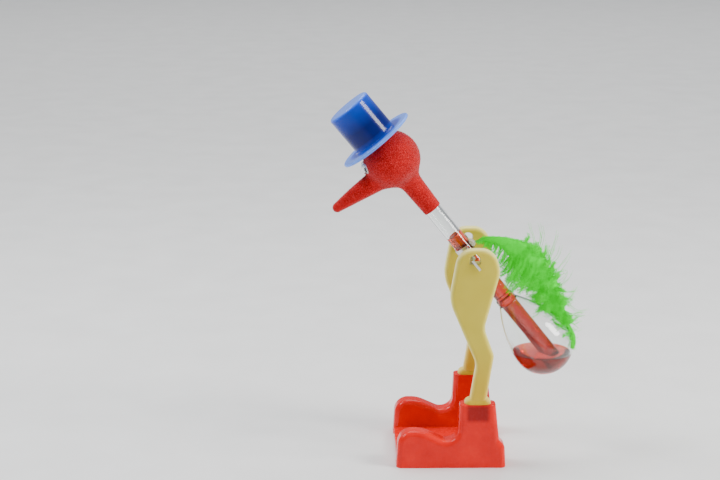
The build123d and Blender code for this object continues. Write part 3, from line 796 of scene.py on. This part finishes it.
TUBE_KEPT_TO = 20  # the height up the tube to which the down is kept off it
CORE_START = 0.02
CORE_END = 0.90  # the share of the quill where the close part and the stem stop, and only down goes on
FEATHER_SEED = 5
TUBE_FOOT = Vector((TUBE_OFFSET * cos(REST_TILT), 0, TUBE_OFFSET * sin(REST_TILT)))
TUBE_RUN = Vector((-sin(REST_TILT), 0, cos(REST_TILT)))


def curve_at(places, share):
    """A point on a smooth curve through the listed places."""
    along = share * (len(places) - 1)
    i = min(int(along), len(places) - 2)
    t = along - i
    before, start, end, after = (places[min(max(k, 0), len(places) - 1)] for k in (i - 1, i, i + 1, i + 2))
    weights = (
        -0.5 * t + t**2 - 0.5 * t**3, 1 - 2.5 * t**2 + 1.5 * t**3,
        0.5 * t + 2 * t**2 - 1.5 * t**3, 0.5 * (t**3 - t**2),
    )
    x, z = (sum(w * p[k] for w, p in zip(weights, (before, start, end, after))) for k in (0, 1))
    return Vector((x, 0, z))


def quill_run(share):
    """The quill's direction, from its root to its tail."""
    step = 0.01
    return (curve_at(QUILL, min(share + step, 1)) - curve_at(QUILL, max(share - step, 0))).normalized()


def pushed_clear(point):
    """Moves a point of the down out of the bulb and the tube."""
    apart = point - BULB_FROM_PIVOT
    if apart.length < KEEP_OFF_BULB:
        point = BULB_FROM_PIVOT + apart.normalized() * KEEP_OFF_BULB
    height = (point - TUBE_FOOT).dot(TUBE_RUN)
    if BULB_HEIGHT < height < TUBE_KEPT_TO:
        axis_point = TUBE_FOOT + TUBE_RUN * height
        narrow = min(max((SEAL - height) / (SEAL - BULB_HEIGHT), 0), 1)
        keep = KEEP_OFF_TUBE + (BULB_R - TUBE_R - 0.6) * narrow**0.62
        aside = point - axis_point
        if aside.length < keep:
            point = axis_point + aside.normalized() * keep
    return point


def barb(dice, share, outline, reach, lead, spread, wander, lock=None, steps=11):
    """The points of one barb: it leaves the quill towards the tail, then bends out to the feather's edge.

    Barbs of one lock share their bend and their place across the feather, so that they cling together.
    """
    seed, aside = lock or (stray(dice) * 20, dice.gauss(0, 1))
    foot = curve_at(QUILL, share)
    edge = curve_at(outline, min(max(share + lead / LENGTH, 0), 1))
    tip = foot + (edge - foot) * reach
    tip.y = (aside + 0.35 * dice.gauss(0, 1)) * spread
    pull = foot + quill_run(share) * (0.35 * (tip - foot).length) + (tip - foot) * 0.25
    points = []
    for i in range(steps + 1):
        t = i / steps
        point = foot * (1 - t) ** 2 + pull * 2 * t * (1 - t) + tip * t * t
        waver = noise.noise_vector(seed + Vector((2.4 * t, share * 3, 0))) * wander * t**1.3
        points.append(pushed_clear(point + waver))
    return points


def locks(dice, count, size, low, high):
    """Where on the quill that many barbs start, in clinging locks of about that size, each lock's own bend
    and place across the feather, and how far it leans and reaches, from -1 to 1.
    """
    left = 0
    for i in range(count):
        if left == 0:
            left = max(1, round(dice.gauss(size, size / 3)))
            lock = (stray(dice) * 20, dice.gauss(0, 1))
            lean, reach = dice.uniform(-1, 1), dice.uniform(-1, 1)
        left -= 1
        yield low + (high - low) * i / count, lock, lean, reach


def add_barb(store, points, radius, low, high):
    """One barb as a tapering strand, its shade running from low to high."""
    last = len(points) - 1
    radii = [radius * (1 - 0.72 * k / last) for k in range(last + 1)]
    add_strand(*store, points, radii, [low + (high - low) * k / last for k in range(last + 1)])


def add_down(dice, store, points, count, reach, radius, low, high):
    """Fine barbules along a barb, more of them towards its tip."""
    vertices, faces, along = store
    last = len(points) - 1
    for _ in range(count):
        place = (dice.random() ** 0.75) * last
        i = min(int(place), last - 1)
        foot = points[i].lerp(points[i + 1], place - i)
        run = (points[i + 1] - points[i]).normalized()
        out = stray(dice)
        aside = (out - run * out.dot(run)).normalized()
        tip = foot + (aside + run * dice.uniform(0.2, 1.0)).normalized() * reach * dice.uniform(0.5, 1.25)
        shade = low + (high - low) * place / last
        add_spike(vertices, faces, along, foot, pushed_clear(tip), radius, shade, shade + 0.12)


def feather_core(material):
    """The close part of the plume round the quill: a thin leaf with a soft, uneven surface."""
    sections, around = 110, 28
    vertices, faces, along = [], [], []
    for i in range(sections + 1):
        share = CORE_START + (CORE_END - CORE_START) * i / sections
        quill, over, under = (curve_at(line, share) for line in (QUILL, OVER, UNDER))
        full = min(max((share - 0.16) / 0.22, 0), 1)
        thin = min(1, 6 * share, 7 * (CORE_END - share) + 0.05)
        top = quill + (over - quill) * (0.92 - 0.22 * full) * min(1, thin + 0.3)
        low = quill + (under - quill) * (0.22 + 0.36 * full) * min(1, thin + 0.15)
        middle, half = (top + low) / 2, (top - low) / 2
        for k in range(around):
            turn = 2 * pi * k / around
            deep = (0.9 + 1.0 * full) * thin * sin(turn) * abs(sin(turn)) ** 0.2
            point = middle + half * cos(turn) + Vector((0, deep, 0))
            rough = noise.noise(point * 0.55) * 0.7 + noise.noise(point * 1.7) * 0.45
            point += Vector((0, sin(turn), 0)) * rough * full + half.normalized() * cos(turn) * rough * full
            vertices.append(pushed_clear(point))
            # Painted shade: the core's lower side gets a slightly darker shade than its upper side.
            along.append(0.42 + 0.1 * cos(turn))
    for i in range(sections):
        for k in range(around):
            j = (k + 1) % around
            base = i * around
            faces.append((base + k, base + j, base + around + j, base + around + k))
    faces.append(tuple(range(around)))
    faces.append(tuple(range(sections * around, (sections + 1) * around)))
    finish_down("feather_core", (vertices, faces, along), material)


def finish_down(name, store, material, *nodes):
    """Makes one piece of the plume, with its shade stored on its points."""
    vertices, faces, along = store
    piece = make_piece(name, [RESTING @ v for v in vertices], faces, material)
    shares = piece.data.attributes.new("along", "FLOAT", "POINT")
    shares.data.foreach_set("value", along)
    settle(piece, "bird", "feather_green", *nodes)


def feather_pieces(dense, fluffy, horn):
    """The marabou plume: a close vane over its root, then loose curling down to the tail."""
    noise.seed_set(FEATHER_SEED)
    dice = random.Random(FEATHER_SEED)
    vane, under, tail, over, wisps = (([], [], []) for _ in range(5))
    feather_core(dense)
    # The close vane: fine barbs side by side along the top of the plume and under its root.
    vane_barbs = 900
    for i in range(vane_barbs):
        share = 0.01 + 0.45 * (i / vane_barbs)
        outline, low, high = (OVER, 0.82, 1.02) if i % 3 else (UNDER, 0.2, 0.36)
        points = barb(dice, share, outline, dice.uniform(low, high), dice.uniform(3.0, 5.0), 0.5, 0.25)
        add_barb(vane, points, 0.13, 0.35, 0.7)
        add_down(dice, vane, points, 5, 0.7, 0.05, 0.4, 0.7)
    # Loose separate barbs under the root, in thin locks with gaps between them.
    for share, lock, lean, reach in locks(dice, 230, 6, 0.07, 0.36):
        far = 0.92 + 0.14 * reach + dice.uniform(-0.1, 0.1)
        points = barb(dice, share, UNDER, far, 1.5 * lean - 1.0, 2.4, 1.6, lock)
        # The low, dark shade of these barbs near the quill is painted shade under the plume's root.
        add_barb(under, points, 0.12, 0.08, 0.5)
        add_down(dice, under, points, 22, 1.0, 0.055, 0.12, 0.6)
    # The fluffy body, from a third of the way along to the tail.
    for share, lock, lean, reach in locks(dice, 700, 12, 0.24, 0.70):
        far = 0.82 + 0.17 * reach + dice.uniform(-0.18, 0.12)
        points = barb(dice, share, UNDER, far, 2.5 * lean + 1.0, 4.6, 3.6, lock)
        add_barb(under, points, 0.14, 0.2, 0.8)
        add_down(dice, under, points, 36, 1.5, 0.075, 0.2, 0.9)
    # More down over the tail, and then along the plume's upper edge.
    for share, lock, lean, reach in locks(dice, 560, 12, 0.60, 1.0):
        far = 0.95 + 0.35 * reach + dice.uniform(-0.2, 0.2)
        points = barb(dice, share, UNDER, far, 3.0 * lean, 5.2, 3.0, lock)
        add_barb(tail, points, 0.14, 0.2, 0.8)
        add_down(dice, tail, points, 36, 1.4, 0.07, 0.25, 0.9)
    for share, lock, lean, reach in locks(dice, 760, 12, 0.30, 1.0):
        far = 0.95 + 0.45 * reach + dice.uniform(-0.2, 0.2)
        points = barb(dice, share, OVER, far, 2.5 * lean + 1.5, 4.0, 3.4, lock)
        add_barb(over, points, 0.13, 0.25, 0.8)
        add_down(dice, over, points, 32, 1.35, 0.07, 0.3, 0.9)
    # Long wisps that stand out over the back, and a few that curl off the underside.
    for share, lock, lean, reach in locks(dice, 150, 4, 0.34, 0.97):
        outline, far, curl = (OVER, 2.3 + 0.9 * reach, 3.2) if dice.random() < 0.75 else (UNDER, 1.15, 4.0)
        far *= dice.uniform(0.8, 1.1)
        points = barb(dice, share, outline, far, 3.0 * lean + 2.0, 4.5, curl, lock, 14)
        add_barb(wisps, points, 0.16, 0.6, 1.0)
        add_down(dice, wisps, points, 18, 0.9, 0.05, 0.7, 1.0)
    finish_down("feather_neat_vane", vane, dense, "feather_vane")
    finish_down("feather_down_under", under, fluffy)
    finish_down("feather_down_tail", tail, fluffy)
    finish_down("feather_down_over", over, fluffy)
    finish_down("feather_wisps", wisps, fluffy)
    stem = ([], [], [])
    steps = 40
    points = [pushed_clear(curve_at(QUILL, CORE_END * i / steps)) for i in range(steps + 1)]
    shares = [i / steps for i in range(steps + 1)]
    add_strand(*stem, points, [0.5 - 0.4 * i / steps for i in range(steps + 1)], shares)
    quill = make_piece("feather_stem", [RESTING @ v for v in stem[0]], stem[1], horn)
    settle(quill, "bird", "quill_green", "feather_quill")


# ---- eyes, in millimetres ----
EYE_R = 2.4
DOME_BORE = 2.12
DOME_FOOT = 0.62
PUPIL_SHIFT = -0.65  # the pupil lies low in its dome


def eye_frame(side):
    """An eye's frame from its pupil's joint: Z out of the head, X uphill at rest, in millimetres."""
    joint = JOINTS[f"{side}_pupil_spin"]
    out = Vector(joint["axis"]).normalized()
    uphill = (Vector((0, 0, 1)) - out * out.z).normalized()
    turn = Matrix((uphill, out.cross(uphill), out)).transposed().to_4x4()
    return Matrix.Translation(joint["pos_m"]) @ turn @ Matrix.Scale(MM, 4)


def eye_pieces(side, white, clear, black):
    """One wiggle eye: a dished white back, a thin clear dome with a flat rim, and a loose black disc."""
    place = eye_frame(side)
    back = [
        (0, 0.02), (2.15, 0.0), (2.36, 0.08), (EYE_R, 0.25), (2.36, 0.46), (2.15, 0.5), (1.9, 0.42), (0, 0.40)
    ]
    settle(lathe(f"{side}_eye_back", back, place, white, 48), "bird", "eye_white", f"{side}_eye_cup")
    turns = [radians(a) for a in range(0, 91, 9)]
    outer = [(EYE_R * cos(a), DOME_FOOT + 1.6 * sin(a)) for a in turns]
    inner = [(DOME_BORE * cos(a), DOME_FOOT + 1.36 * sin(a)) for a in reversed(turns)]
    rim = [(DOME_BORE, 0.51), (2.3, 0.5), (EYE_R, 0.54)]
    dome = outer[:-1] + [(0, outer[-1][1]), (0, inner[0][1])] + inner[1:] + rim
    settle(lathe(f"{side}_eye_dome", dome, place, clear, 48), "bird", "eye_clear", f"{side}_eye_lens")
    disc = [(0, 0.62), (1.05, 0.62), (1.15, 0.70), (1.15, 0.90), (1.05, 1.0), (0, 1.02)]
    shift = place @ Matrix.Translation((PUPIL_SHIFT, 0, 0))
    settle(lathe(f"{side}_eye_disc", disc, shift, black, 40), f"{side}_eye", "eye_black", f"{side}_pupil")


# ---- CAD nodes that keep their shape ----
def paint(material, *nodes):
    """Gives CAD nodes a material in every slot."""
    for node in nodes:
        mesh = frame["nodes"][node].data
        mesh.materials.clear()
        mesh.materials.append(material)


# ---- stage ----
def add_area_light(name, place, aim, size, power, color):
    """A soft square light at place, turned to aim, of that size in metres and power in watts."""
    light = bpy.data.lights.new(name, "AREA")
    light.shape = "SQUARE"
    light.size = size
    light.energy = power
    light.color = color
    lamp = bpy.data.objects.new(name, light)
    lamp.location = place
    lamp.rotation_euler = (aim - place).to_track_quat("-Z", "Y").to_euler()
    bpy.context.scene.collection.objects.link(lamp)


def add_stage():
    """A plain pale floor, a soft pale surround and three soft lights."""
    half = 6.0
    corners = [(-half, -half, 0), (half, -half, 0), (half, half, 0), (-half, half, 0)]
    surface = plain_material("pale_floor", (0.80, 0.80, 0.79), (0.84, 0.84, 0.83), 0.55, 0.7, 30)
    make_piece("floor", corners, [(0, 1, 2, 3)], surface)
    world = bpy.data.worlds.new("surround")
    world.use_nodes = True
    sky = world.node_tree.nodes["Background"]
    sky.inputs["Color"].default_value = (0.92, 0.95, 1.0, 1)
    sky.inputs["Strength"].default_value = 0.46
    bpy.context.scene.world = world
    aim = PIVOT
    add_area_light("right", aim + Vector((0.58, -0.20, 0.40)), aim, 0.24, 6.2, (1.0, 0.98, 0.95))
    add_area_light("left", aim + Vector((-0.50, 0.06, 0.50)), aim, 0.30, 4.0, (0.95, 0.97, 1.0))
    add_area_light("top", aim + Vector((0.10, 1.30, 2.30)), aim, 2.0, 52.0, (1.0, 1.0, 1.0))


def add_camera():
    """The photograph's viewing angle: about 14 degrees down, 0.7 m in front of the bird's left side."""
    down = radians(13.86)
    swing = radians(0.7)
    camera = bpy.data.objects.new("camera", bpy.data.cameras.new("camera"))
    camera.data.lens = 80.3
    camera.data.sensor_width = 36.0
    camera.data.clip_start = 0.02
    camera.location = (PIVOT.x - 0.05845, -0.6993, 0.2712)
    look = Vector((sin(swing) * cos(down), cos(swing) * cos(down), -sin(down)))
    camera.rotation_euler = look.to_track_quat("-Z", "Y").to_euler()
    bpy.context.scene.collection.objects.link(camera)
    bpy.context.scene.camera = camera


add_camera()
add_stage()

glass = glass_material()
glass_piece(glass)
# Each liquid's first colour is painted light at its top, its second painted shade low down.
column_piece(liquid_material("red_column", (0.92, 0.14, 0.08), (0.72, 0.05, 0.03), -20, 6))
pool_piece(liquid_material("red_pool", (0.95, 0.16, 0.09), (0.45, 0.010, 0.008), -54.5, -48.0))

felt = felt_material()
felt_points, felt_out = felt_piece(felt)
fibres_piece(felt_points, felt_out, felt)

# Each feather material's first colour is painted shade at the quill.
feather_pieces(
    feather_material("green_vane", (0.001, 0.16, 0.001), (0.005, 0.86, 0.002), (0.03, 0.97, 0.01)),
    feather_material("green_down", (0.001, 0.14, 0.001), (0.006, 0.86, 0.002), (0.14, 0.98, 0.07)),
    quill_material(),
)

eye_white = plain_material("eye_card", (0.86, 0.86, 0.84), (0.93, 0.93, 0.92), 0.4, 0.55, 1800)
eye_clear = plain_material(
    "eye_dome", (0.94, 0.96, 0.96), (0.98, 0.99, 0.99), 0.02, 0.08, 900, Transmission_Weight=1.0, IOR=1.45
)
eye_black = plain_material("eye_disc", (0.006, 0.006, 0.007), (0.016, 0.016, 0.018), 0.3, 0.45, 1500)
for eye_side in ("left", "right"):
    eye_pieces(eye_side, eye_white, eye_clear, eye_black)

paint(glass, "head_bulb")
paint(plain_material("beak_plastic", (0.50, 0.05, 0.04), (0.62, 0.10, 0.08), 0.4, 0.6, 700), "beak_core")
paint(hat_material(), "top_hat")
paint(leg_material(), "left_leg", "right_leg")
paint(boot_material(), "shoe_base")
paint(steel_material(), "pivot_clip")
paint(glue_material(), "hat_glue", "feather_glue")
